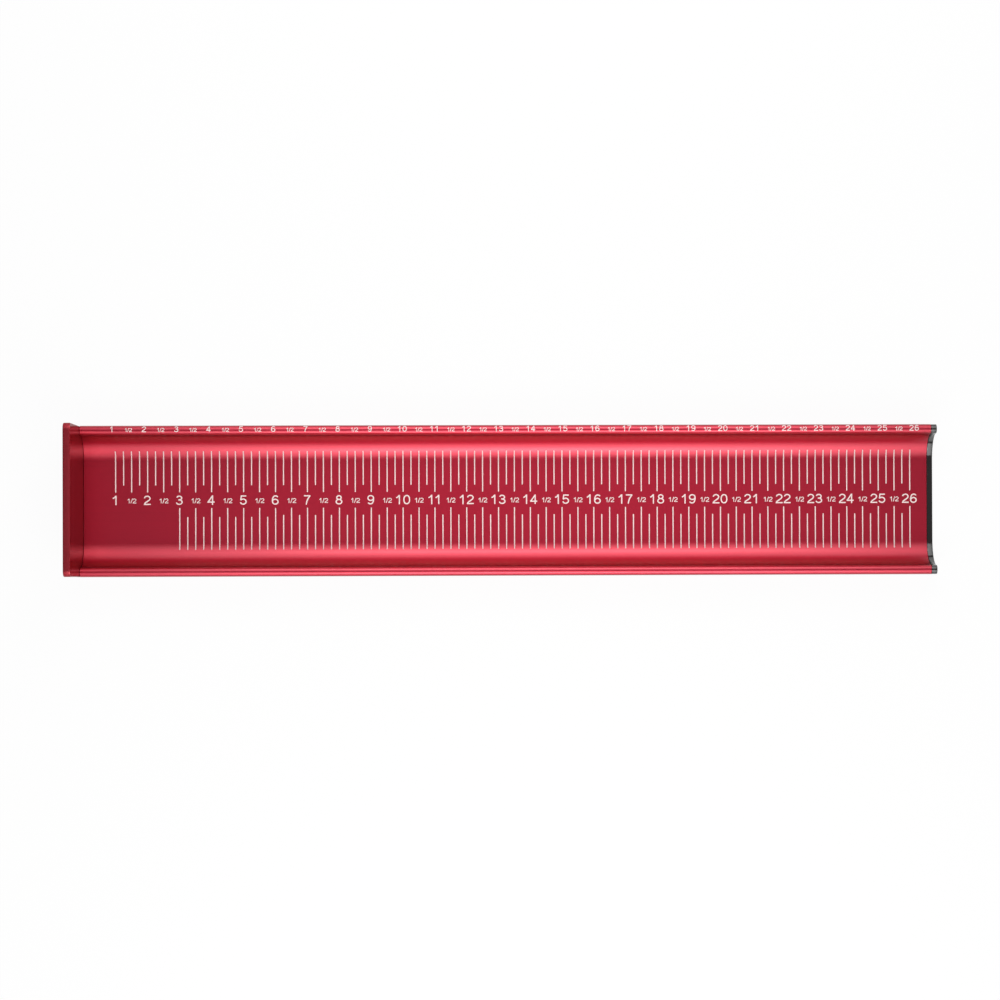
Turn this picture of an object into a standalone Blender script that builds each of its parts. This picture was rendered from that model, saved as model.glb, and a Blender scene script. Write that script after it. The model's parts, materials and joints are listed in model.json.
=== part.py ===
"""Fish measuring board: an extruded aluminium trough with a fence at one end and a cap at the other.

Metres, +Z up, +X along the board away from the fence. The origin is at the middle of the board,
on the surface that it rests on. The inch scale starts at the fence's inner face.
"""

import math

import bmesh
import bpy
from mathutils import Matrix

# Tray: one hollow extrusion, the same on both sides of its middle
TRAY_LENGTH = 0.6736
FLOOR_WIDTH = 0.0640       # flat floor between the two flanks
FLOOR_THICKNESS = 0.0030
FLANK_RADIUS = 0.0202      # quarter-round flank that cradles the fish
FLANK_WALL = 0.0024
LIP_WIDTH = 0.0075         # half-round lip on top of each flank
OUTER_WALL = 0.0022
CHAMBER_FLOOR = 0.0026     # metal below each hollow chamber
CHAMBER_ROOT = 0.0016      # height of the chamber at its thin inner end
FOOT_HEIGHT = 0.0008       # relief under the floor
FOOT_WIDTH = 0.0180        # strip that the board rests on, at each side
BASE_CORNER = 0.0015

# Screw ports: round bores along the whole tray, each in a thick wall of its own
PORT_INSET = 0.0050        # from the tray's side to a port's axis
LOWER_PORT_HEIGHT = 0.0052
PORT_WALL = 0.0016
SEAT_WEB = 0.0017          # metal left between the seats of a lower and an upper screw

# Fence plate
FENCE_THICKNESS = 0.0057
FENCE_HEIGHT = 0.0762
FENCE_INSET = 0.0002       # its sides lie this far inside the tray's
FENCE_CORNER = 0.0050
FENCE_CHAMFER = 0.0007

# End cap
CAP_THICKNESS = 0.0044
CAP_INSET = 0.0001         # its outline lies this far inside the tray's
CAP_EDGE = 0.0004

# Countersunk screws with a hexagon socket
SCREW_DIAMETER = 0.0035
HEAD_DIAMETER = 0.0066
HEAD_RIM = 0.0003
HEAD_RECESS = 0.0002       # how far a head lies below the plate's face
SOCKET_WIDTH = 0.0022      # across the flats
SOCKET_DEPTH = 0.0012
SCREW_TIP = 0.0006
FENCE_SCREW_LENGTH = 0.0160
CAP_SCREW_LENGTH = 0.0120

# Clearances
SEAM = 0.0003              # between faces that touch on the real board
HOLE_CLEARANCE = 0.0004    # round a screw, in radius

# Smoothness of the round shapes
FLANK_STEPS = 24
LIP_STEPS = 20
CORNER_STEPS = 6
ROUND_STEPS = 32
CUT_OVERSHOOT = 0.0050     # how far a cutter reaches past what it cuts

# Worked out from the sizes above
FLOOR_TOP = FOOT_HEIGHT + FLOOR_THICKNESS
LIP_RADIUS = LIP_WIDTH / 2
LIP_MIDDLE = FLOOR_TOP + FLANK_RADIUS
HALF_FLOOR = FLOOR_WIDTH / 2
HALF_WIDTH = HALF_FLOOR + FLANK_RADIUS + LIP_WIDTH
BOARD_LENGTH = FENCE_THICKNESS + SEAM + TRAY_LENGTH + SEAM + CAP_THICKNESS

FENCE_BACK = -BOARD_LENGTH / 2
SCALE_ZERO = FENCE_BACK + FENCE_THICKNESS
TRAY_START = SCALE_ZERO + SEAM
TRAY_END = TRAY_START + TRAY_LENGTH
CAP_START = TRAY_END + SEAM
CAP_FACE = CAP_START + CAP_THICKNESS

HOLE_RADIUS = SCREW_DIAMETER / 2 + HOLE_CLEARANCE
SEAT_RADIUS = HEAD_DIAMETER / 2 + HOLE_CLEARANCE
PORT_RADIUS = SCREW_DIAMETER / 2 + SEAM
PORT_SIDE = HALF_WIDTH - PORT_INSET
UPPER_PORT_HEIGHT = LOWER_PORT_HEIGHT + 2 * SEAT_RADIUS + SEAT_WEB
LOWER_PORTS = [(side * PORT_SIDE, LOWER_PORT_HEIGHT) for side in (-1, 1)]
UPPER_PORTS = [(side * PORT_SIDE, UPPER_PORT_HEIGHT) for side in (-1, 1)]


def clear_scene():
    for old in list(bpy.data.objects):
        bpy.data.objects.remove(old, do_unlink=True)


def make_material(name, colour, metallic, roughness):
    material = bpy.data.materials.new(name)
    material.use_nodes = True
    shader = material.node_tree.nodes["Principled BSDF"]
    shader.inputs["Base Color"].default_value = (*colour, 1.0)
    shader.inputs["Metallic"].default_value = metallic
    shader.inputs["Roughness"].default_value = roughness
    return material


def arc(centre, radius, start, end, steps):
    """Points on an arc in the section's plane, with both its ends. Angles are in degrees."""
    points = []
    for step in range(steps + 1):
        angle = math.radians(start + (end - start) * step / steps)
        across = centre[0] + radius * math.cos(angle)
        up = centre[1] + radius * math.sin(angle)
        points.append((across, up))
    return points


def mirrored(half):
    """A whole outline from its +Y half, which runs from the bottom middle to the top middle."""
    return half + [(-across, up) for across, up in reversed(half)]


def section_outline(inset):
    """Outside of the tray's section, moved inwards by inset, as (across, up) points."""
    side = HALF_WIDTH - inset
    corner = BASE_CORNER
    foot_edge = HALF_WIDTH - FOOT_WIDTH
    half = [(foot_edge - FOOT_HEIGHT, FOOT_HEIGHT + inset), (foot_edge, inset)]
    half += arc((side - corner, inset + corner), corner, -90, 0, CORNER_STEPS)
    half += arc((HALF_WIDTH - LIP_RADIUS, LIP_MIDDLE), LIP_RADIUS - inset, 0, 180, LIP_STEPS)
    half += arc((HALF_FLOOR, LIP_MIDDLE), FLANK_RADIUS + inset, 0, -90, FLANK_STEPS)[1:]
    return mirrored(half)


def chamber_outline(side):
    """Section of the hollow under one flank: side is 1 for +Y and -1 for -Y."""
    radius = FLANK_RADIUS + FLANK_WALL
    root_drop = LIP_MIDDLE - CHAMBER_FLOOR - CHAMBER_ROOT
    root_angle = -math.degrees(math.asin(root_drop / radius))
    top_angle = -math.degrees(math.asin((LIP_MIDDLE - UPPER_PORT_HEIGHT) / radius))
    wall = HALF_WIDTH - OUTER_WALL
    curve = arc((HALF_FLOOR, LIP_MIDDLE), radius, top_angle, root_angle, FLANK_STEPS)
    points = [(wall, CHAMBER_FLOOR), (wall, UPPER_PORT_HEIGHT)] + curve
    points.append((curve[-1][0], CHAMBER_FLOOR))
    return [(side * across, up) for across, up in points]


def port_metal_outline(place, corner):
    """Metal kept round a port. It fills the corner by the tray's side: corner is -1 below, 1 above."""
    across, up = place
    side = math.copysign(1, across)
    reach = PORT_INSET + LOWER_PORT_HEIGHT
    points = arc((0, 0), PORT_RADIUS + PORT_WALL, 0, 270, ROUND_STEPS)
    points += [(0, -reach), (reach, -reach), (reach, 0)]
    return [(across + side * outwards, up - corner * away) for outwards, away in points]


def fence_outline():
    """Upright plate with round top corners, seen along X."""
    side = HALF_WIDTH - FENCE_INSET
    top = FENCE_HEIGHT - FENCE_CORNER
    half = [(side, 0.0)]
    half += arc((side - FENCE_CORNER, top), FENCE_CORNER, 0, 90, CORNER_STEPS * 2)
    return mirrored(half)


def link(name, bm, material=None):
    """A new object from a bmesh, with smooth round faces and crisp edges."""
    bmesh.ops.recalc_face_normals(bm, faces=bm.faces)
    mesh = bpy.data.meshes.new(name)
    bm.to_mesh(mesh)
    bm.free()
    mesh.shade_smooth()
    mesh.set_sharp_from_angle(angle=math.radians(30))
    if material:
        mesh.materials.append(material)
    obj = bpy.data.objects.new(name, mesh)
    bpy.context.scene.collection.objects.link(obj)
    return obj


def extruded(name, outline, start, end, material=None):
    """An outline drawn across the board, pulled along X from start to end."""
    bm = bmesh.new()
    corners = [bm.verts.new((start, across, up)) for across, up in outline]
    face = bm.faces.new(corners)
    pulled = bmesh.ops.extrude_face_region(bm, geom=[face])
    moved = [item for item in pulled["geom"] if isinstance(item, bmesh.types.BMVert)]
    bmesh.ops.translate(bm, verts=moved, vec=(end - start, 0, 0))
    return link(name, bm, material)


def turned(name, profile, material=None):
    """A profile of (along, radius) points, turned round the X axis. It starts and ends on the axis."""
    bm = bmesh.new()
    line = [bm.verts.new((along, 0, radius)) for along, radius in profile]
    edges = [bm.edges.new(pair) for pair in zip(line, line[1:])]
    bmesh.ops.spin(
        bm, geom=line + edges, cent=(0, 0, 0), axis=(1, 0, 0), dvec=(0, 0, 0),
        angle=math.tau, steps=ROUND_STEPS, use_merge=True,
    )
    bmesh.ops.remove_doubles(bm, verts=bm.verts, dist=0.000001)
    return link(name, bm, material)


def hide_cutter(obj):
    obj.hide_render = True
    obj.display_type = "WIRE"
    return obj


def cut(obj, cutter):
    modifier = obj.modifiers.new("cut_" + cutter.name, "BOOLEAN")
    modifier.operation = "DIFFERENCE"
    modifier.solver = "EXACT"
    modifier.object = cutter


def make_chamber(side, label, start, end):
    """The hollow under one flank, as a cutter that leaves the metal round the two ports there."""
    chamber = hide_cutter(extruded(f"chamber_{label}", chamber_outline(side), start, end))
    lower = (side * PORT_SIDE, LOWER_PORT_HEIGHT)
    upper = (side * PORT_SIDE, UPPER_PORT_HEIGHT)
    for place, corner, level in ((lower, -1, "lower"), (upper, 1, "upper")):
        outline = port_metal_outline(place, corner)
        name = f"port_metal_{level}_{label}"
        kept = extruded(name, outline, start - CUT_OVERSHOOT, end + CUT_OVERSHOOT)
        cut(chamber, hide_cutter(kept))
    return chamber


def make_tray(material):
    tray = extruded("tray", section_outline(0), TRAY_START, TRAY_END, material)
    start = TRAY_START - CUT_OVERSHOOT
    end = TRAY_END + CUT_OVERSHOOT
    for side, label in ((-1, "near"), (1, "far")):
        cut(tray, make_chamber(side, label, start, end))
    for number, place in enumerate(LOWER_PORTS + UPPER_PORTS, 1):
        bore = turned(f"port_bore_{number}", [(start, 0), (start, PORT_RADIUS), (end, PORT_RADIUS), (end, 0)])
        bore.location = (0, *place)
        cut(tray, hide_cutter(bore))
    return tray


def cut_screw_seat(plate, name, place, face, inwards, thickness):
    """A countersunk hole through a plate. face is the plate's outer face, inwards is 1 or -1 along X."""
    outside = -CUT_OVERSHOOT
    rim = HEAD_RECESS + HEAD_RIM
    cone_end = rim + SEAT_RADIUS - HOLE_RADIUS
    through = thickness + CUT_OVERSHOOT
    profile = [(outside, 0), (outside, SEAT_RADIUS), (rim, SEAT_RADIUS)]
    profile += [(cone_end, HOLE_RADIUS), (through, HOLE_RADIUS), (through, 0)]
    seat = turned(name, profile)
    if inwards < 0:
        seat.data.transform(Matrix.Rotation(math.pi, 4, "Z"))
    seat.location = (face, *place)
    cut(plate, hide_cutter(seat))


def bevel(obj, width, segments):
    modifier = obj.modifiers.new("edges", "BEVEL")
    modifier.width = width
    modifier.segments = segments
    modifier.limit_method = "ANGLE"
    modifier.angle_limit = math.radians(40)


def make_fence(material):
    fence = extruded("fence_plate", fence_outline(), FENCE_BACK, SCALE_ZERO, material)
    bevel(fence, FENCE_CHAMFER, 2)
    for number, place in enumerate(LOWER_PORTS + UPPER_PORTS, 1):
        cut_screw_seat(fence, f"fence_seat_{number}", place, FENCE_BACK, 1, FENCE_THICKNESS)
    return fence


def make_cap(material):
    cap = extruded("end_cap", section_outline(CAP_INSET), CAP_START, CAP_FACE, material)
    bevel(cap, CAP_EDGE, 2)
    for number, place in enumerate(LOWER_PORTS, 1):
        cut_screw_seat(cap, f"cap_seat_{number}", place, CAP_FACE, -1, CAP_THICKNESS)
    return cap


def make_screw_mesh(name, length, material):
    """A countersunk screw whose head's top is at 0 and whose tip points along +X."""
    shank = SCREW_DIAMETER / 2
    head = HEAD_DIAMETER / 2
    profile = [(0, 0), (0, head), (HEAD_RIM, head), (HEAD_RIM + head - shank, shank)]
    profile += [(length - SCREW_TIP, shank), (length, shank - SCREW_TIP), (length, 0)]
    screw = turned(name, profile, material)
    bm = bmesh.new()
    corner_radius = SOCKET_WIDTH / 2 / math.cos(math.pi / 6)
    place = Matrix.Rotation(math.pi / 2, 4, "Y")
    bmesh.ops.create_cone(
        bm, cap_ends=True, segments=6, radius1=corner_radius, radius2=corner_radius,
        depth=SOCKET_DEPTH * 2, matrix=place,
    )
    socket = hide_cutter(link(name + "_socket", bm))
    cut(screw, socket)
    graph = bpy.context.evaluated_depsgraph_get()
    mesh = bpy.data.meshes.new_from_object(screw.evaluated_get(graph))
    mesh.name = name
    mesh.set_sharp_from_angle(angle=math.radians(30))
    bpy.data.objects.remove(screw)
    bpy.data.objects.remove(socket)
    return mesh


def place_screws(name, mesh, places, face, inwards):
    for number, place in enumerate(places, 1):
        screw = bpy.data.objects.new(f"{name}_{number}", mesh)
        screw.location = (face + inwards * HEAD_RECESS, *place)
        if inwards < 0:
            screw.rotation_euler = (0, 0, math.pi)
        bpy.context.scene.collection.objects.link(screw)


def main():
    clear_scene()
    red = make_material("red_anodised", (0.42, 0.014, 0.032), 1.0, 0.28)
    fence_red = make_material("red_anodised_plate", (0.36, 0.014, 0.030), 1.0, 0.22)
    black = make_material("black_plastic", (0.022, 0.021, 0.022), 0.0, 0.42)
    steel = make_material("stainless_steel", (0.62, 0.61, 0.59), 1.0, 0.30)
    make_tray(red)
    make_fence(fence_red)
    make_cap(black)
    fence_screw = make_screw_mesh("fence_screw", FENCE_SCREW_LENGTH, steel)
    place_screws("fence_screw", fence_screw, LOWER_PORTS + UPPER_PORTS, FENCE_BACK, 1)
    cap_screw = make_screw_mesh("cap_screw", CAP_SCREW_LENGTH, steel)
    place_screws("cap_screw", cap_screw, LOWER_PORTS, CAP_FACE, -1)


main()
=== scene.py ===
# %% [markdown]
# # The looks of a fish measuring board
#
# The board is a long trough of red anodised aluminium. A fish is laid in it with its nose against the tall
# fence at the left end, and its length is read off the inch scale on the floor. The solids come packed, at
# their real size, and nothing here moves or resizes them. This script adds what they lack: the finish of
# every surface, the laser-marked scale, the small edges that catch the light, the studio and the camera.

# %% Load the fixed frame
import json
import math

import bmesh
import bpy
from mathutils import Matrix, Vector
from mathutils.geometry import delaunay_2d_cdt


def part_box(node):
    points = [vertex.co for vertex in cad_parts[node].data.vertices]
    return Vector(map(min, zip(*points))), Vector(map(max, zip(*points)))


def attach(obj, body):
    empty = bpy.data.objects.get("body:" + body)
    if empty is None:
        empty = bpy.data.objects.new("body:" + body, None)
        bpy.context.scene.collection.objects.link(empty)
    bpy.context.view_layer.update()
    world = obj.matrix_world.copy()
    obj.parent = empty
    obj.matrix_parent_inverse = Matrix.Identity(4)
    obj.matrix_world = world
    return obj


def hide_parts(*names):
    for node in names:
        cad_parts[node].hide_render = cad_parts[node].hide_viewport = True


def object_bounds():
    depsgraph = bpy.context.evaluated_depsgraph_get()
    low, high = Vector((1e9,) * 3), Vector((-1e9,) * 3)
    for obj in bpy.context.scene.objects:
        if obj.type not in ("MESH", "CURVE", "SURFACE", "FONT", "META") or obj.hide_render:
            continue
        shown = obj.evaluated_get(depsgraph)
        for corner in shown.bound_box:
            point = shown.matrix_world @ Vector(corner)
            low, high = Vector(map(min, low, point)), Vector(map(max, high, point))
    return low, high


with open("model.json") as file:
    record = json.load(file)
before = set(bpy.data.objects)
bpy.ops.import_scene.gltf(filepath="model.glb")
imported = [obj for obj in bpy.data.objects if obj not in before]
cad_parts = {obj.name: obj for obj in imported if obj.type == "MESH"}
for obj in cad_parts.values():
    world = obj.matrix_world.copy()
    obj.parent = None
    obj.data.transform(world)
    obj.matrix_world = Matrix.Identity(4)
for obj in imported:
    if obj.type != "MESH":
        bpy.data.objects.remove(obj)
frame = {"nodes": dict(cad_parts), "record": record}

CAD_LOW, CAD_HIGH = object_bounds()
print("nodes:", ", ".join(sorted(frame["nodes"])))
print("board, mm:", [round((high - low) * 1000, 1) for low, high in zip(CAD_LOW, CAD_HIGH)])

# %% [markdown]
# ## Sizes that everything else follows
#
# The scale starts at the fence's inner face, so every mark gets its place from that face and from the inch.
# The section of the trough is a flat floor, a quarter-round flank on each side and a half-round lip on top.
# All of it can be read from the frame once the width of the lip is known, and so no outline is typed in.

# %% Read the section from the frame
INCH = 0.0254
LAST_INCH = 26
LIP_RADIUS = 0.00375

tray_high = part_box("tray")[1]
SCALE_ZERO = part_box("fence_plate")[1].x
FLOOR_TOP = next(m["pos_m"][2] for m in frame["record"]["mounts"] if m["name"] == "floor")
LIP_MIDDLE = tray_high.z - LIP_RADIUS
FLANK_RADIUS = LIP_MIDDLE - FLOOR_TOP
HALF_FLOOR = tray_high.y - 2 * LIP_RADIUS - FLANK_RADIUS
print(f"floor {HALF_FLOOR * 2000:.1f} mm wide, flank radius {FLANK_RADIUS * 1000:.1f} mm")
last_mark = SCALE_ZERO + LAST_INCH * INCH
print(f"inch {LAST_INCH} is {(tray_high.x - last_mark) * 1000:.1f} mm from the end of the tray")

# %% [markdown]
# ## The camera
#
# The photograph looks straight down from a little over two metres with a long lens. Its place and tilt were
# worked out from the photograph: the marks are an inch apart, so they say where every point of the floor
# falls in the picture, and the lips and the fence, which stand higher, say how far away the lens is.
# A camera that was aimed by eye could match the outline, but not the slight lean of the fence.

# %% Place the camera
CAMERA_PLACE = (-0.01955, -0.0593, 2.1743)
CAMERA_TILT = (0.521, -1.650, -0.191)    # degrees about X, Y and Z
PICTURE_SIDE = 1000                      # pixels
FOCAL_LENGTH = 2714.4                    # pixels
PICTURE_CENTRE = (560.25, 550.3)         # pixels, where the lens points
SENSOR_WIDTH = 36.0                      # millimetres

camera_data = bpy.data.cameras.new("camera")
camera_data.sensor_width = SENSOR_WIDTH
camera_data.lens = SENSOR_WIDTH * FOCAL_LENGTH / PICTURE_SIDE
camera_data.shift_x = 0.5 - PICTURE_CENTRE[0] / PICTURE_SIDE
camera_data.shift_y = PICTURE_CENTRE[1] / PICTURE_SIDE - 0.5
camera = bpy.data.objects.new("camera", camera_data)
camera.location = CAMERA_PLACE
camera.rotation_mode = "ZYX"
camera.rotation_euler = [math.radians(angle) for angle in CAMERA_TILT]
bpy.context.scene.collection.objects.link(camera)
bpy.context.scene.camera = camera
print(f"lens {camera_data.lens:.1f} mm, shift {camera_data.shift_x:.3f}, {camera_data.shift_y:.3f}")

# %% [markdown]
# ## Helpers for shader nodes
#
# Every finish below is a small tree of nodes. A few helpers keep those trees short: they add a node with its
# plain values, join two sockets, make a material, do a sum and give the coordinates that everything is laid
# out by. They save typing and add nothing of their own.

# %% Materials, nodes and links
def add(tree, kind, settings=None, **inputs):
    """Adds a node. Settings are its own properties; inputs are sockets by name, spaces as underscores."""
    node = tree.nodes.new(kind)
    for name, value in (settings or {}).items():
        setattr(node, name, value)
    for name, value in inputs.items():
        node.inputs[name.replace("_", " ")].default_value = value
    return node


def join(tree, source, socket):
    tree.links.new(source, socket)


def new_material(name, kind, **inputs):
    """A material whose surface is one shader node. Returns it with its tree and that shader."""
    material = bpy.data.materials.new(name)
    material.use_nodes = True
    tree = material.node_tree
    tree.nodes.clear()
    shader = add(tree, kind, **inputs)
    output = tree.nodes.new("ShaderNodeOutputMaterial")
    join(tree, shader.outputs[0], output.inputs["Surface"])
    return material, tree, shader


def maths(tree, operation, *terms, clamp=False):
    """A sum. Each term is a plain number or what comes out of another node. Returns the result."""
    node = add(tree, "ShaderNodeMath", {"operation": operation, "use_clamp": clamp})
    for socket, term in zip(node.inputs, terms):
        if isinstance(term, float):
            socket.default_value = term
        else:
            join(tree, term, socket)
    return node.outputs[0]


def in_metres(tree):
    """Coordinates in metres. A piece's own are those of the shared frame, since it lies at the origin."""
    return add(tree, "ShaderNodeTexCoord").outputs["Object"]


print("materials that came with the solids:", len(bpy.data.materials))

# %% [markdown]
# ## A white table
#
# The board lies on a white table, an ordinary pale surface that takes its shadow. Pale isn't white yet, and
# more light would turn it white but burn the board out too. So most of what the camera sees of the table is
# swapped for plain white, by asking each ray where it comes from. Rays that come off metal or through glass
# get the same, so that a shiny face shows the table that the camera shows. The part under the board stays
# as it is: that keeps the narrow seams at both ends of the tray dark.

# %% Lay the table
TABLE_SIDE = 14.0
TABLE_GAP = 0.00005            # below the board, so that no two faces share a plane
TABLE_COLOUR = (0.93, 0.93, 0.93)
TABLE_LIFT = 0.95              # how much of what is seen of the table is plain white


def mirrored_or_through(tree, path):
    """1 for a ray that comes off a shiny surface or through a clear one, else 0."""
    glossy = path.outputs["Is Glossy Ray"]
    return maths(tree, "ADD", glossy, path.outputs["Is Transmission Ray"], clamp=True)


def white_table():
    material, tree, shader = new_material("white_table", "ShaderNodeMixShader")
    across = add(tree, "ShaderNodeSeparateXYZ")
    join(tree, in_metres(tree), across.inputs[0])
    beside = [
        maths(tree, "GREATER_THAN", maths(tree, "ABSOLUTE", across.outputs[axis]), reach)
        for axis, reach in (("X", CAD_HIGH.x), ("Y", CAD_HIGH.y))
    ]
    path = add(tree, "ShaderNodeLightPath")
    seen = maths(tree, "ADD", path.outputs["Is Camera Ray"], mirrored_or_through(tree, path), clamp=True)
    seen_beside_the_board = maths(tree, "MULTIPLY", seen, maths(tree, "MAXIMUM", *beside))
    pale = add(tree, "ShaderNodeBsdfDiffuse", Color=(*TABLE_COLOUR, 1))
    white = add(tree, "ShaderNodeEmission", Color=(1, 1, 1, 1), Strength=1.0)
    join(tree, maths(tree, "MULTIPLY", seen_beside_the_board, TABLE_LIFT), shader.inputs[0])
    join(tree, pale.outputs[0], shader.inputs[1])
    join(tree, white.outputs[0], shader.inputs[2])
    return material


table_mesh = bpy.data.meshes.new("table")
table_bm = bmesh.new()
bmesh.ops.create_grid(table_bm, x_segments=1, y_segments=1, size=TABLE_SIDE / 2)
table_bm.to_mesh(table_mesh)
table_bm.free()
table_mesh.materials.append(white_table())
table = bpy.data.objects.new("table", table_mesh)
table.location.z = CAD_LOW.z - TABLE_GAP
bpy.context.scene.collection.objects.link(table)
print("table", TABLE_SIDE, "m wide")

# %% [markdown]
# ## Two softboxes
#
# One large softbox hangs on each side and leans in at about forty-five degrees. That is how anodised metal
# is photographed: each round flank and lip mirrors a softbox as one bright band, while the flat floor, which
# looks up between them, keeps its deep colour. A softbox is brightest in its middle, where its lamp is, so
# each is made of a large light and a small one just before it. That makes the bands palest in the middle of
# the board.

# %% Hang the softboxes
SOFTBOX_LEAN = 46.8            # degrees from straight up
SOFTBOX_DISTANCE = 0.97
SOFTBOX_SIZE = (1.02, 1.12)    # along the board and across it
SOFTBOX_POWER = 7.20           # watts, for the far one
NEAR_SHARE = 1.25              # how much stronger the near one is
SOFTBOX_MIDDLE = 0.054         # this far towards the cap
CORE_SIZE = (0.58, 0.26)       # the bright middle
CORE_SHARE = 0.22              # of the power
CORE_STEP = 0.01               # in front of the rest


def hang_light(name, side, size, distance, power):
    """A light that leans over the board from a side: 1 is the far side and -1 the near one."""
    light = bpy.data.lights.new(name, "AREA")
    light.shape = "RECTANGLE"
    light.size, light.size_y = size
    light.energy = power
    lamp = bpy.data.objects.new(name, light)
    lean = math.radians(SOFTBOX_LEAN) * side
    out = Vector((0, math.sin(lean), math.cos(lean)))
    lamp.location = out * distance + Vector((SOFTBOX_MIDDLE, 0, 0))
    lamp.rotation_euler = (-lean, 0, 0)
    bpy.context.scene.collection.objects.link(lamp)


for name, side, power in (("far", 1, SOFTBOX_POWER), ("near", -1, SOFTBOX_POWER * NEAR_SHARE)):
    hang_light("softbox_" + name, side, SOFTBOX_SIZE, SOFTBOX_DISTANCE, power * (1 - CORE_SHARE))
    hang_light("core_" + name, side, CORE_SIZE, SOFTBOX_DISTANCE - CORE_STEP, power * CORE_SHARE)
    print(f"{name} softbox: {power:.1f} W, leaning {SOFTBOX_LEAN} degrees")

# %% [markdown]
# ## The room
#
# The flat floor of the trough mirrors whatever is overhead, so the room matters as much as the lamps. It is
# dim, with darker walls and a slightly paler ceiling, and a smooth step between the two leaves no edge in a
# reflection. Only the camera sees white all round. Shiny and clear surfaces see that white up to the horizon,
# as if the table went on for ever.

# %% Paint the room
CEILING_GLOW = 0.138
WALL_GLOW = 0.080              # at the horizon
WALL_TOP = 0.30                # sine of the angle above the horizon where the ceiling is reached
SWEEP_TOP = 0.02               # and of the angle that the white reaches for shiny surfaces


def paint_room():
    world = bpy.data.worlds.new("studio")
    bpy.context.scene.world = world
    world.use_nodes = True
    tree = world.node_tree
    tree.nodes.clear()
    output = tree.nodes.new("ShaderNodeOutputWorld")
    direction = add(tree, "ShaderNodeSeparateXYZ")
    join(tree, add(tree, "ShaderNodeTexCoord").outputs["Generated"], direction.inputs[0])
    height = direction.outputs["Z"]
    room = add(tree, "ShaderNodeMapRange", {"interpolation_type": "SMOOTHSTEP"}, From_Max=WALL_TOP,
               To_Min=WALL_GLOW, To_Max=CEILING_GLOW)
    path = add(tree, "ShaderNodeLightPath")
    low = maths(tree, "LESS_THAN", height, SWEEP_TOP)
    sweep = maths(tree, "MULTIPLY", mirrored_or_through(tree, path), low)
    level = add(tree, "ShaderNodeMix", {"data_type": "FLOAT"}, B=1.0)
    glow = add(tree, "ShaderNodeBackground", Color=(1, 1, 1, 1))
    join(tree, height, room.inputs["Value"])
    join(tree, maths(tree, "MAXIMUM", path.outputs["Is Camera Ray"], sweep), level.inputs["Factor"])
    join(tree, room.outputs["Result"], level.inputs["A"])
    join(tree, level.outputs["Result"], glow.inputs["Strength"])
    join(tree, glow.outputs[0], output.inputs["Surface"])


paint_room()
bpy.context.scene.view_settings.view_transform = "Standard"
print("room: walls", WALL_GLOW, "and ceiling", CEILING_GLOW, "of white")

# %% [markdown]
# ## Red anodised aluminium
#
# Anodising grows a clear porous layer on the metal and a red dye fills it. Two things happen to the light:
# the etched metal below mirrors it as a wide soft red highlight, and the sealed surface mirrors a little of
# it uncoloured. So the shader is a metal with a clear coat. Light that comes in at a low angle goes a long
# way through the dye, so the metal's tint at its edges is dark: that keeps the steep parts of the flanks
# deep. The die leaves long fine lines on an extrusion, which spread a highlight across them more than along
# them. The fence is rolled plate: its dye keeps faint streaks, but they have no relief.

# %% Textures, ranges and bumps
DIE_CELLS = (3.0, 900.0, 900.0)    # in a metre: long along the board and fine across it
GRAIN_CELLS = 2600.0               # in a metre


def texture(tree, kind, place, settings=None, **inputs):
    """A texture laid out by the coordinates of a place. Returns its grey."""
    node = add(tree, kind, settings, **inputs)
    join(tree, place, node.inputs["Vector"])
    return node.outputs["Fac"]


def spread(tree, grey, low, high):
    """Maps a texture's grey, which goes from 0 to 1, to a range."""
    node = add(tree, "ShaderNodeMapRange", To_Min=low, To_Max=high)
    join(tree, grey, node.inputs["Value"])
    return node.outputs["Result"]


def raised(tree, grey, strength, depth, under=None):
    """Raises the surface where a grey is pale, on top of the bumps under it. Returns the new normal."""
    node = add(tree, "ShaderNodeBump", Strength=strength, Distance=depth)
    join(tree, grey, node.inputs["Height"])
    if under is not None:
        join(tree, under, node.inputs["Normal"])
    return node.outputs["Normal"]


print(f"die lines about {1000 / DIE_CELLS[1]:.1f} mm wide, grain about {1000 / GRAIN_CELLS:.1f} mm")

# %% Anodised finish
DIE_TONE = (0.94, 1.06)        # how far the die's lines darken and lighten the dye
DIE_STRENGTH = 0.10            # of their bumps, as a share of the relief
BRUSHED = 0.20                 # anisotropy, which widens a highlight across the lines
ACROSS = 0.25                  # of a turn, from the tangent
GRAIN_STRENGTH = 0.05
GRAIN_SATIN = 0.03             # how far the grain changes the roughness, up and down
RELIEF = 0.0001


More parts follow.
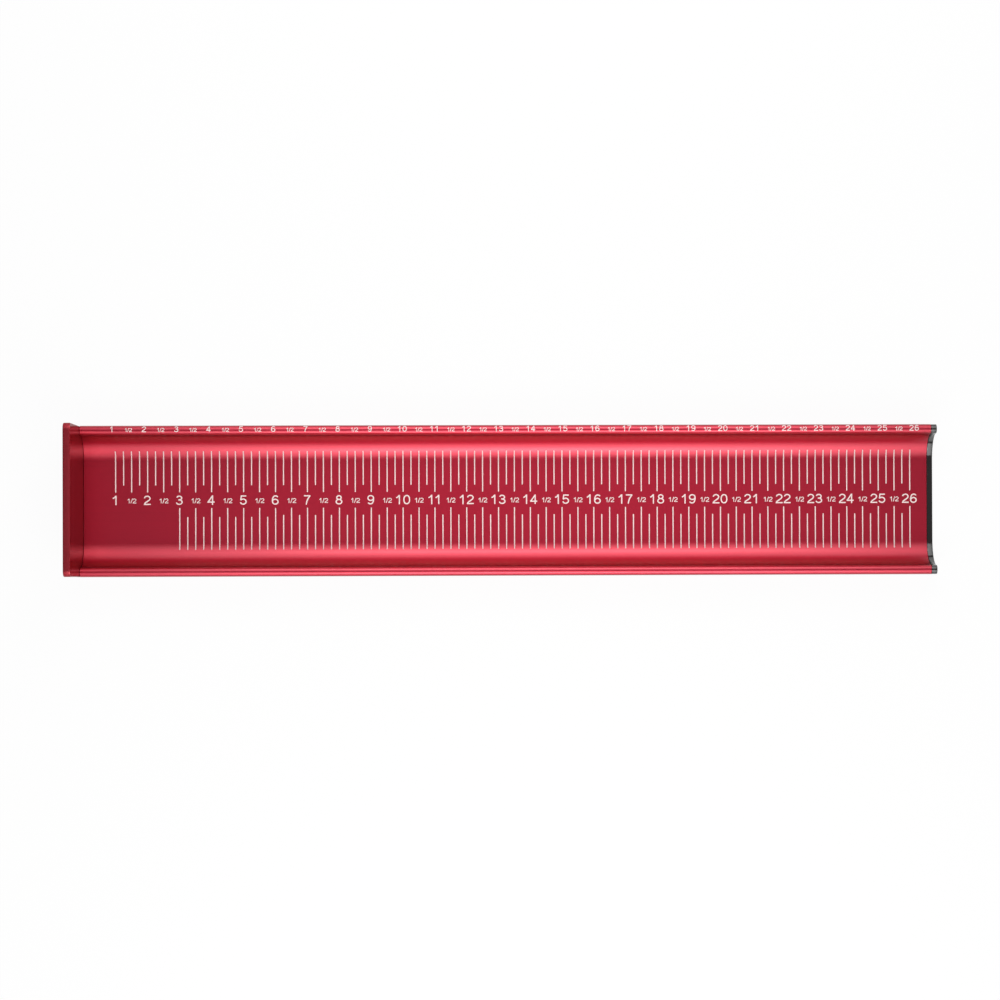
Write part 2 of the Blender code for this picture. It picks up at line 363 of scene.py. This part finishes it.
def anodised(name, colour, edge, roughness, coat, die):
    """Red anodised metal. Edge is its tint at a low angle, die how much relief the long lines have."""
    coat_weight, coat_roughness, coat_ior = coat
    material, tree, shader = new_material(
        name,
        "ShaderNodeBsdfPrincipled",
        Metallic=1.0,
        Specular_Tint=(*edge, 1),
        Anisotropic=BRUSHED * die,
        Anisotropic_Rotation=ACROSS,
        Coat_Weight=coat_weight,
        Coat_Roughness=coat_roughness,
        Coat_IOR=coat_ior,
    )
    place = in_metres(tree)
    stretched = add(tree, "ShaderNodeMapping", Scale=DIE_CELLS)
    join(tree, place, stretched.inputs["Vector"])
    lines = texture(tree, "ShaderNodeTexNoise", stretched.outputs[0], Scale=1.0, Detail=3.0, Roughness=0.6)
    grain = texture(tree, "ShaderNodeTexNoise", place, Scale=GRAIN_CELLS, Detail=2.0)
    dyed = add(tree, "ShaderNodeMix", {"data_type": "RGBA", "blend_type": "MULTIPLY"}, Factor=1.0,
               A=(*colour, 1))
    join(tree, spread(tree, lines, *DIE_TONE), dyed.inputs["B"])
    join(tree, dyed.outputs["Result"], shader.inputs["Base Color"])
    satin = spread(tree, grain, roughness - GRAIN_SATIN, roughness + GRAIN_SATIN)
    join(tree, satin, shader.inputs["Roughness"])
    lined = raised(tree, lines, DIE_STRENGTH * die, RELIEF)
    join(tree, raised(tree, grain, GRAIN_STRENGTH, RELIEF, lined), shader.inputs["Normal"])
    lengthwise = add(tree, "ShaderNodeCombineXYZ", X=1.0)
    join(tree, lengthwise.outputs[0], shader.inputs["Tangent"])
    return material


print(f"the die's lines change the dye by {(DIE_TONE[1] - 1) * 100:.0f} % up and down")

# %% Dye the tray and the fence
TRAY_RED = (0.543, 0.0024, 0.0327)
TRAY_EDGE = (0.0, 0.0, 0.0)
TRAY_ROUGHNESS = 0.432
TRAY_COAT = (1.0, 0.301, 1.60)    # weight, roughness and index of refraction
PLATE_RED = (0.44, 0.037, 0.052)
PLATE_EDGE = (0.30, 0.08, 0.08)
PLATE_ROUGHNESS = 0.45
PLATE_COAT = (0.5, 0.16, 1.35)

tray_finish = anodised("anodised_tray_finish", TRAY_RED, TRAY_EDGE, TRAY_ROUGHNESS, TRAY_COAT, die=1.0)
plate_finish = anodised("anodised_plate_finish", PLATE_RED, PLATE_EDGE, PLATE_ROUGHNESS, PLATE_COAT, die=0.0)
print("made", tray_finish.name, "and", plate_finish.name)

# %% [markdown]
# ## Black plastic
#
# The end cap is moulded, so its skin is a very fine, even texture that spreads the light a little, with
# faint clouds of paler, duller plastic. Its index of refraction is higher than that of a real plastic, for
# highlights as strong as those in the photograph.

# %% Moulded black
BLACK_DARK = (0.012, 0.010, 0.010)
BLACK_LIGHT = (0.018, 0.016, 0.016)
BLACK_ROUGHNESS = (0.10, 0.15)
BLACK_IOR = 1.9
CLOUD_CELLS = 160.0            # in a metre
LEATHER_CELLS = 4200.0         # the moulded texture
LEATHER_STRENGTH = 0.25
LEATHER_RELIEF = 0.00004


def two_tones(tree, grey, first, second):
    """Blends from the first colour, where the grey is 0, to the second."""
    node = add(tree, "ShaderNodeMix", {"data_type": "RGBA"}, A=(*first, 1), B=(*second, 1))
    join(tree, grey, node.inputs["Factor"])
    return node.outputs["Result"]


def moulded_black():
    material, tree, shader = new_material("moulded_black", "ShaderNodeBsdfPrincipled", IOR=BLACK_IOR)
    place = in_metres(tree)
    leather = texture(tree, "ShaderNodeTexNoise", place, Scale=LEATHER_CELLS, Detail=3.0)
    cloud = texture(tree, "ShaderNodeTexNoise", place, Scale=CLOUD_CELLS, Detail=2.0)
    join(tree, two_tones(tree, cloud, BLACK_DARK, BLACK_LIGHT), shader.inputs["Base Color"])
    join(tree, spread(tree, cloud, *BLACK_ROUGHNESS), shader.inputs["Roughness"])
    join(tree, raised(tree, leather, LEATHER_STRENGTH, LEATHER_RELIEF), shader.inputs["Normal"])
    return material


black_finish = moulded_black()
print("made", black_finish.name)

# %% [markdown]
# ## Bleached marks
#
# A laser burns the dye out of the anodised layer, line beside line. What it leaves is bare, bleached oxide:
# pale and dull, with a trace of the dye where two lines don't quite meet. The laser runs along the board, so
# its lines are the bands of a wave texture, which follow one another across the board.

# %% Burnt oxide
MARK_PALE = (0.97, 0.85, 0.82)
MARK_TRACE = (0.86, 0.62, 0.62)
MARK_ROUGHNESS = (0.5, 0.65)
MARK_SPECULAR = 0.3
LASER_SCALE = 2600.0           # of the wave texture, for lines 0.12 mm apart
LASER_WANDER = 0.6             # how far the lines stray from straight
LASER_STRENGTH = 0.15
LASER_RELIEF = 0.00002
SPECK_CELLS = 3000.0           # in a metre


def burnt_oxide():
    material, tree, shader = new_material(
        "burnt_oxide", "ShaderNodeBsdfPrincipled", Specular_IOR_Level=MARK_SPECULAR
    )
    place = in_metres(tree)
    hatch = texture(tree, "ShaderNodeTexWave", place, {"bands_direction": "Y"}, Scale=LASER_SCALE,
                    Distortion=LASER_WANDER, Detail=1.0)
    specks = texture(tree, "ShaderNodeTexNoise", place, Scale=SPECK_CELLS, Detail=2.0)
    traces = maths(tree, "MULTIPLY", hatch, specks)
    join(tree, two_tones(tree, traces, MARK_PALE, MARK_TRACE), shader.inputs["Base Color"])
    join(tree, spread(tree, specks, *MARK_ROUGHNESS), shader.inputs["Roughness"])
    join(tree, raised(tree, hatch, LASER_STRENGTH, LASER_RELIEF), shader.inputs["Normal"])
    return material


mark_finish = burnt_oxide()
print("made", mark_finish.name)

# %% [markdown]
# ## Stainless steel
#
# The screws are turned on a lathe, so their heads carry fine rings round the axis. A ring texture has its
# middle at the origin, and generated coordinates run from 0 to 1 over each screw, so they are moved by a
# half: the rings then lie round the middle of every screw, wherever it is.

# %% Turned steel
STEEL_DARK = (0.56, 0.55, 0.53)
STEEL_LIGHT = (0.66, 0.65, 0.63)
STEEL_ROUGHNESS = (0.20, 0.34)
TO_THE_MIDDLE = (-0.5, -0.5, -0.5)
RING_SCALE = 12.0              # of the wave texture, for 19 rings from the axis to the rim
RING_WANDER = 1.5
RING_STRENGTH = 0.2
RING_RELIEF = 0.00005
STAIN_CELLS = 500.0            # in a metre


def turned_steel():
    material, tree, shader = new_material("turned_steel", "ShaderNodeBsdfPrincipled", Metallic=1.0)
    centred = add(tree, "ShaderNodeMapping", Location=TO_THE_MIDDLE)
    join(tree, add(tree, "ShaderNodeTexCoord").outputs["Generated"], centred.inputs["Vector"])
    rings = texture(tree, "ShaderNodeTexWave", centred.outputs[0],
                    {"wave_type": "RINGS", "rings_direction": "X"}, Scale=RING_SCALE, Distortion=RING_WANDER)
    stain = texture(tree, "ShaderNodeTexNoise", in_metres(tree), Scale=STAIN_CELLS, Detail=3.0)
    join(tree, two_tones(tree, stain, STEEL_DARK, STEEL_LIGHT), shader.inputs["Base Color"])
    join(tree, spread(tree, rings, *STEEL_ROUGHNESS), shader.inputs["Roughness"])
    join(tree, raised(tree, rings, RING_STRENGTH, RING_RELIEF), shader.inputs["Normal"])
    return material


steel_finish = turned_steel()
print("made", steel_finish.name)

# %% [markdown]
# ## The same solids, with smooth skins
#
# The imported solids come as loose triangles, each shaded flat, which is right for a part that is measured and
# wrong for one that is looked at. Each piece is copied, its corners are welded, and every edge that isn't
# a real corner is shaded smooth. The form stays as it was: the copy stands in for the node that it came from.
# Smooth shading bends the normals of a large flat face beside a rounded edge, which would shade the top of
# the fence like a pillow, so the normals are weighted by area. A saw leaves a sharp edge on both ends of the
# tray and a file breaks it: a bevel of half a millimetre catches the light at the cap and is dark at the
# fence, where it mirrors the fence's face.

# %% Copy the solids for dressing
CORNER_ANGLE = 28.0            # degrees, sharper edges stay sharp
FLAT_ANGLE = 0.1               # degrees, triangles that lie flatter than this are one face
WELD = 0.000001
TRAY_EDGE_BREAK = 0.0005
CAP_EDGE_BREAK = 0.0001
EDGE_FACETS = 2                # across a broken edge


def weigh_end_edges(bm, ends):
    """Gives full bevel weight to the edges that lie in the plane of either end."""
    weight = bm.edges.layers.float.new("bevel_weight_edge")
    for edge in bm.edges:
        at_end = any(all(abs(corner.co.x - end) < WELD for corner in edge.verts) for end in ends)
        edge[weight] = 1.0 if at_end else 0.0


def smooth(mesh, finish):
    """Shades a mesh smooth between its real corners and gives it one finish."""
    mesh.shade_smooth()
    mesh.set_sharp_from_angle(angle=math.radians(CORNER_ANGLE))
    mesh.materials.clear()
    mesh.materials.append(finish)


def new_piece(name, mesh):
    """An object that rides on the board."""
    piece = bpy.data.objects.new(name, mesh)
    bpy.context.scene.collection.objects.link(piece)
    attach(piece, "root")
    return piece


def dressed(node, name, finish, edge_break=0.0):
    """A welded, smooth copy of a node's mesh that replaces it, with broken edges at its two ends."""
    mesh = frame["nodes"][node].data.copy()
    mesh.name = name
    bm = bmesh.new()
    bm.from_mesh(mesh)
    bmesh.ops.remove_doubles(bm, verts=bm.verts, dist=WELD)
    bmesh.ops.dissolve_limit(bm, angle_limit=math.radians(FLAT_ANGLE), verts=bm.verts, edges=bm.edges)
    if edge_break:
        weigh_end_edges(bm, [corner.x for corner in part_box(node)])
    bm.to_mesh(mesh)
    bm.free()
    if "custom_normal" in mesh.attributes:
        mesh.attributes.remove(mesh.attributes["custom_normal"])
    smooth(mesh, finish)
    piece = new_piece(name, mesh)
    if edge_break:
        bevel = piece.modifiers.new("broken_edges", "BEVEL")
        bevel.width = edge_break
        bevel.segments = EDGE_FACETS
        bevel.limit_method = "WEIGHT"
    flats = piece.modifiers.new("large_faces_stay_flat", "WEIGHTED_NORMAL")
    flats.keep_sharp = True
    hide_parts(node)
    print(f"{name}: {len(mesh.vertices)} corners, {len(mesh.polygons)} faces")


# %% Dress the board
dressed("tray", "trough", tray_finish, TRAY_EDGE_BREAK)
dressed("fence_plate", "nose_fence", plate_finish)
dressed("end_cap", "black_end_cap", black_finish, CAP_EDGE_BREAK)
for node in sorted(frame["nodes"]):
    if "screw" in node:
        dressed(node, node + "_steel", steel_finish)

# %% [markdown]
# ## Laying marks on a bent surface
#
# The scale is burnt into the anodised layer with a laser, so each mark is a thin bleached skin that follows
# the metal: flat on the floor and bent up the flanks. The trick is to unroll the section: a mark is drawn
# flat, with a distance measured along the metal from the middle of the floor, and one function says where
# such a distance lies in space. The laser burns from straight above, so a numeral on the round lip has its
# right shape from there and is stretched down the lip's side: another function finds its points from above.
# A third one turns a place that is seen from above into a distance along the metal.

# %% Unroll the section
LIP_CENTRE = tray_high.y - LIP_RADIUS
LIP_LIMIT = 0.99               # of the radius: beyond it the side is too steep to be burnt from above


def on_metal(x, along, lift):
    """The point at a distance along the metal, minus on the near side, with a lift above it."""
    run = abs(along)
    if run <= HALF_FLOOR:
        return Vector((x, along, FLOOR_TOP + lift))
    slope = (run - HALF_FLOOR) / FLANK_RADIUS
    reach = FLANK_RADIUS - lift
    out = math.copysign(HALF_FLOOR + reach * math.sin(slope), along)
    return Vector((x, out, LIP_MIDDLE - reach * math.cos(slope)))


def on_lip(x, y, lift):
    """The point of the far lip that is seen at y from above, with a lift above the metal."""
    lean = math.asin(min((y - LIP_CENTRE) / LIP_RADIUS, LIP_LIMIT))
    reach = LIP_RADIUS + lift
    return Vector((x, LIP_CENTRE + reach * math.sin(lean), LIP_MIDDLE + reach * math.cos(lean)))


def along_at(y):
    """The distance along the metal of a point of the floor or flank that is seen at y from above."""
    out = abs(y) - HALF_FLOOR
    if out <= 0:
        return y
    return math.copysign(HALF_FLOOR + FLANK_RADIUS * math.asin(out / FLANK_RADIUS), y)


print(f"metal from the middle to the lip: {(HALF_FLOOR + FLANK_RADIUS * math.pi / 2) * 1000:.1f} mm")

# %% [markdown]
# ## The lines of the scale
#
# There is a line at every quarter inch. Above the numerals the lines run far up the flank. Below them they
# start at three inches. Whole and half inches start nearer to the numerals than quarters do. Each line is
# a row of rings, one more at each step up the flank, so it bends with the metal. All the lines are one mesh,
# since they are one finish on one piece of metal.

# %% One line
LINE_WIDTH = 0.00084
FLANK_STEP = 0.0013            # between the rings on the flank
MARK_SKIN = 0.00003            # above the metal
MARK_ROOT = -0.00002           # and below it
LINE_SECTION = ((-1, MARK_ROOT), (1, MARK_ROOT), (1, MARK_SKIN), (-1, MARK_SKIN))


def rings_between(start, end):
    """Distances at which a line needs a ring: its ends, the foot of the flank and steps up the flank."""
    side = math.copysign(1.0, end)
    first, last = abs(start), abs(end)
    count = math.ceil((last - HALF_FLOOR) / FLANK_STEP)
    rings = [first]
    rings += [HALF_FLOOR + (last - HALF_FLOOR) * i / count for i in range(count + 1)]
    return [side * ring for ring in rings]


def burn_line(bm, x, start, end):
    """Burns one line between two places that are seen from above."""
    rows = []
    for along in rings_between(along_at(start), along_at(end)):
        ring = [on_metal(x + side * LINE_WIDTH / 2, along, lift) for side, lift in LINE_SECTION]
        rows.append([bm.verts.new(corner) for corner in ring])
    for row, following in zip(rows, rows[1:]):
        for i in range(4):
            j = (i + 1) % 4
            bm.faces.new((row[i], row[j], following[j], following[i]))
    bm.faces.new(rows[0])
    bm.faces.new(reversed(rows[-1]))


def marks_piece(name, bm):
    """Turns a finished set of marks into a piece of the tray."""
    bmesh.ops.recalc_face_normals(bm, faces=bm.faces)
    mesh = bpy.data.meshes.new(name)
    bm.to_mesh(mesh)
    bm.free()
    smooth(mesh, mark_finish)
    new_piece(name, mesh)
    print(f"{name}: {len(mesh.polygons)} faces")


print(f"a mark is {(MARK_SKIN - MARK_ROOT) * 1e6:.0f} micrometres thick")

# %% Burn all lines
QUARTERS = 4                   # in an inch
FIRST_LOWER_INCH = 3
LONG_QUARTERS_FROM = 6         # inches, from here on the lower quarters are a little longer
UPPER_START = 0.00765
UPPER_QUARTER_START = 0.01323
UPPER_END = 0.0403
LOWER_START = -0.00496
SHORT_QUARTER_START = -0.0121
LONG_QUARTER_START = -0.0107
LOWER_END = -0.0382

bm = bmesh.new()
for quarter in range(QUARTERS, QUARTERS * LAST_INCH + 1):
    x = SCALE_ZERO + quarter * INCH / QUARTERS
    half_or_whole = quarter % 2 == 0
    burn_line(bm, x, UPPER_START if half_or_whole else UPPER_QUARTER_START, UPPER_END)
    if quarter < QUARTERS * FIRST_LOWER_INCH:
        continue
    quarter_start = SHORT_QUARTER_START if quarter < QUARTERS * LONG_QUARTERS_FROM else LONG_QUARTER_START
    burn_line(bm, x, LOWER_START if half_or_whole else quarter_start, LOWER_END)
marks_piece("scale_lines", bm)

# %% [markdown]
# ## Drawing numerals with strokes
#
# Blender can set type, but a font is somebody's drawing. The numerals on a rule are plain ones that anyone
# would draw: one width of stroke, round bowls and flat ends. Each is drawn here as a few centre lines in a
# box one unit high, with straight runs, arcs and bends. A centre line becomes a ribbon of four-sided pieces,
# and Blender's two-dimensional triangulation unites the ribbons that cross, which leaves one clean shape.

# %% Straight runs, arcs and bends
ARC_STEP = 12                  # degrees
LEAST_ARC_STEPS = 4
BEND_STEPS = 10


def arc(middle, radii, start, end, squareness=1.0):
    """Points round an ellipse between two angles in degrees. Squareness under 1 fills its corners out."""
    steps = max(LEAST_ARC_STEPS, round(abs(end - start) / ARC_STEP))
    points = []
    for i in range(steps + 1):
        angle = math.radians(start + (end - start) * i / steps)
        across = math.copysign(abs(math.cos(angle)) ** squareness, math.cos(angle))
        up = math.copysign(abs(math.sin(angle)) ** squareness, math.sin(angle))
        points.append(Vector((middle[0] + radii[0] * across, middle[1] + radii[1] * up)))
    return points


def bend(a, b, c, d):
    """Points on a smooth bend from a to d, pulled towards b and c."""
    points = []
    for i in range(BEND_STEPS + 1):
        t = i / BEND_STEPS
        s = 1 - t
        weights = (s ** 3, 3 * s * s * t, 3 * s * t * t, t ** 3)
        points.append(sum((w * Vector(p) for w, p in zip(weights, (a, b, c, d))), Vector((0, 0))))
    return points


def line(*points):
    return [Vector(point) for point in points]


def turned(paths):
    """The same strokes upside down, which makes a nine of a six."""
    return [[Vector((-point.x, 1 - point.y)) for point in path] for path in paths]


print("straight pieces in a full circle:", len(arc((0, 0), (1, 1), 0, 360)) - 1)

# %% The strokes of each numeral
SIX_BACK = bend((-0.285, 0.36), (-0.30, 0.74), (-0.17, 0.935), (0.03, 0.935))
SIX = [
    arc((0.01, 0.32), (0.295, 0.255), 0, 360),
    SIX_BACK + arc((0.03, 0.765), (0.25, 0.17), 80, 12),
]
TWO_NECK = bend((0.225, 0.545), (0.10, 0.40), (-0.26, 0.26), (-0.30, 0.08))
SEVEN_LEG = bend((0.30, 0.90), (0.10, 0.68), (-0.06, 0.38), (-0.085, 0))
ONE_FLAG = bend((0.077, 0.985), (-0.02, 0.83), (-0.14, 0.74), (-0.26, 0.69))
STROKES = {
    "0": [arc((0, 0.5), (0.30, 0.435), 0, 360, 0.88)],
    "1": [line((0.077, 0), (0.077, 1)), ONE_FLAG],
    "2": [
        arc((0, 0.70), (0.29, 0.235), 175, -35) + TWO_NECK,
        line((-0.365, 0.065), (0.364, 0.065)),
    ],
    "3": [
        arc((0, 0.735), (0.255, 0.20), 168, -90),
        arc((0, 0.30), (0.30, 0.235), 90, -168),
        line((-0.10, 0.535), (0.03, 0.535)),
    ],
    "4": [
        line((-0.40, 0.295), (0.355, 0.295)),
        line((0.137, 0), (0.137, 1)),
        line((-0.335, 0.30), (0.125, 0.955)),
    ],
    "5": [
        line((-0.235, 0.935), (0.33, 0.935)),
        line((-0.19, 0.99), (-0.265, 0.49)),
        arc((0, 0.335), (0.305, 0.27), 148, -164),
    ],
    "6": SIX,
    "7": [line((-0.335, 0.935), (0.355, 0.935)), SEVEN_LEG],
    "8": [arc((0, 0.735), (0.235, 0.20), 0, 360), arc((0, 0.30), (0.30, 0.235), 0, 360)],
    "9": turned(SIX),
    "/": [line((-0.20, -0.02), (0.17, 1.02))],
}
print("numerals drawn:", " ".join(STROKES))

# %% Ribbons, united
SAME_POINT = 0.001             # of the height: ends that are closer than this meet
MERGE = 0.0001                 # of the height: corners that are closer than this become one
INSIDE_ONLY = 1                # the triangulation keeps to the inside of the outlines
NUMERAL_WEIGHT = 0.13          # width of a stroke, as a share of the height
HALF_WEIGHT = 0.15
LIP_WEIGHT = 0.145
WEIGHTS = (NUMERAL_WEIGHT, HALF_WEIGHT, LIP_WEIGHT)


def ribbon(path, weight):
    """Four-sided pieces along a centre line, mitred where it turns, with flat ends."""
    closed = (path[0] - path[-1]).length < SAME_POINT
    rims = []
    for i, point in enumerate(path):
        before = path[i - 1] if i > 0 else path[-2]
        after = path[i + 1] if i + 1 < len(path) else path[1]
        headings = []
        if i > 0 or closed:
            headings.append((point - before).normalized())
        if i + 1 < len(path) or closed:
            headings.append((after - point).normalized())
        heading = sum(headings, Vector((0, 0))).normalized()
        across = Vector((-heading.y, heading.x)) * weight / 2 / heading.dot(headings[0])
        rims.append((point + across, point - across))
    return [(b[1], c[1], c[0], b[0]) for b, c in zip(rims, rims[1:])]


def numeral(sign, weight):
    """One flat sheet of corners and faces for a sign, with crossing strokes united."""
    corners = []
    pieces = []
    for path in STROKES[sign]:
        for piece in ribbon(path, weight):
            pieces.append([len(corners) + i for i in range(4)])
            corners += piece
    points, _, triangles, _, _, sources = delaunay_2d_cdt(corners, [], pieces, INSIDE_ONLY, MERGE)
    return points, [triangle for triangle, covered_by in zip(triangles, sources) if covered_by]


SHEETS = {(sign, weight): numeral(sign, weight) for sign in STROKES for weight in WEIGHTS}
print("triangles in an eight:", len(SHEETS["8", NUMERAL_WEIGHT][1]))

# %% [markdown]
# ## Setting the numerals
#
# A number is a run of signs that share a height and a step from one to the next. The flat sheet of each sign
# is cut into bands, if it has to bend, and every corner is then laid on the metal twice: once just above its
# surface and once just below it. Closing the rim between the two makes a thin solid skin.

# %% Burn a run of signs
SLASH_STEP = 0.5               # of a digit's step


def burn_sign(bm, sheet, lay, x, foot, height, bands):
    """Lays a flat sheet on the metal as a closed skin. Lay is on_metal or on_lip."""
    corners, faces = sheet
    flat = bmesh.new()
    made = [flat.verts.new((corner.x, corner.y, 0)) for corner in corners]
    for face in faces:
        flat.faces.new([made[i] for i in face])
    for cut in bands:
        geometry = flat.verts[:] + flat.edges[:] + flat.faces[:]
        bmesh.ops.bisect_plane(flat, geom=geometry, plane_co=(0, cut, 0), plane_no=(0, 1, 0))

    def laid(corner, lift):
        return bm.verts.new(lay(x + corner.co.x * height, foot + corner.co.y * height, lift))

    used = [corner for corner in flat.verts if corner.link_faces]
    top = {corner: laid(corner, MARK_SKIN) for corner in used}
    root = {corner: laid(corner, MARK_ROOT) for corner in used}
    for face in flat.faces:
        bm.faces.new([top[corner] for corner in face.verts])
        bm.faces.new([root[corner] for corner in reversed(face.verts)])
    for edge in flat.edges:
        if len(edge.link_faces) == 1:
            a, b = edge.verts
            bm.faces.new((top[a], root[a], root[b], top[b]))
    flat.free()


def burn_run(bm, text, x, foot, height, step, weight, lay, bands=()):
    """Burns a run of signs that is centred on x, with its foot at a distance from the board's middle."""
    widths = [step * SLASH_STEP if sign == "/" else step for sign in text]
    left = x - sum(widths) / 2
    for sign, width in zip(text, widths):
        burn_sign(bm, SHEETS[sign, weight], lay, left + width / 2, foot, height, bands)
        left += width


print("flat sheets ready to burn:", len(SHEETS))

# %% Number the floor
NUMERAL_HEIGHT = 0.0075
NUMERAL_FOOT = -0.0024
NUMERAL_STEP = 0.86 * NUMERAL_HEIGHT
NARROW_STEP = 0.75 * NUMERAL_HEIGHT    # two ones stand closer together
NUMERAL_SHIFT = -0.00035               # from the line that a numeral belongs to
HALF_HEIGHT = 0.0038
HALF_FOOT = -0.00106
HALF_STEP = 0.80 * HALF_HEIGHT

bm = bmesh.new()
for inch in range(1, LAST_INCH + 1):
    x = SCALE_ZERO + inch * INCH
    text = str(inch)
    step = NARROW_STEP if text == "11" else NUMERAL_STEP
    burn_run(bm, text, x + NUMERAL_SHIFT, NUMERAL_FOOT, NUMERAL_HEIGHT, step, NUMERAL_WEIGHT, on_metal)
    if inch < LAST_INCH:
        burn_run(bm, "1/2", x + INCH / 2, HALF_FOOT, HALF_HEIGHT, HALF_STEP, HALF_WEIGHT, on_metal)
marks_piece("floor_numerals", bm)

# %% Number the lip
LIP_NUMERAL_HEIGHT = 0.00455
LIP_NUMERAL_STEP = 0.90 * LIP_NUMERAL_HEIGHT
LIP_NUMERAL_FOOT = 0.05446
LIP_HALF_HEIGHT = 0.0031
LIP_HALF_STEP = 0.80 * LIP_HALF_HEIGHT
LIP_HALF_FOOT = 0.05455
LIP_HALF_SHIFT = 0.0004                # from the middle between two inches
LIP_BAND = 0.0003                      # a numeral on the lip is bent at every band


def number_lip(bm, text, x, foot, height, step):
    bands = [i * LIP_BAND / height for i in range(1, math.ceil(height / LIP_BAND))]
    burn_run(bm, text, x, foot, height, step, LIP_WEIGHT, on_lip, bands)


bm = bmesh.new()
for inch in range(1, LAST_INCH + 1):
    x = SCALE_ZERO + inch * INCH
    number_lip(bm, str(inch), x, LIP_NUMERAL_FOOT, LIP_NUMERAL_HEIGHT, LIP_NUMERAL_STEP)
    if inch < LAST_INCH:
        half_x = x + INCH / 2 + LIP_HALF_SHIFT
        number_lip(bm, "1/2", half_x, LIP_HALF_FOOT, LIP_HALF_HEIGHT, LIP_HALF_STEP)
marks_piece("lip_numerals", bm)
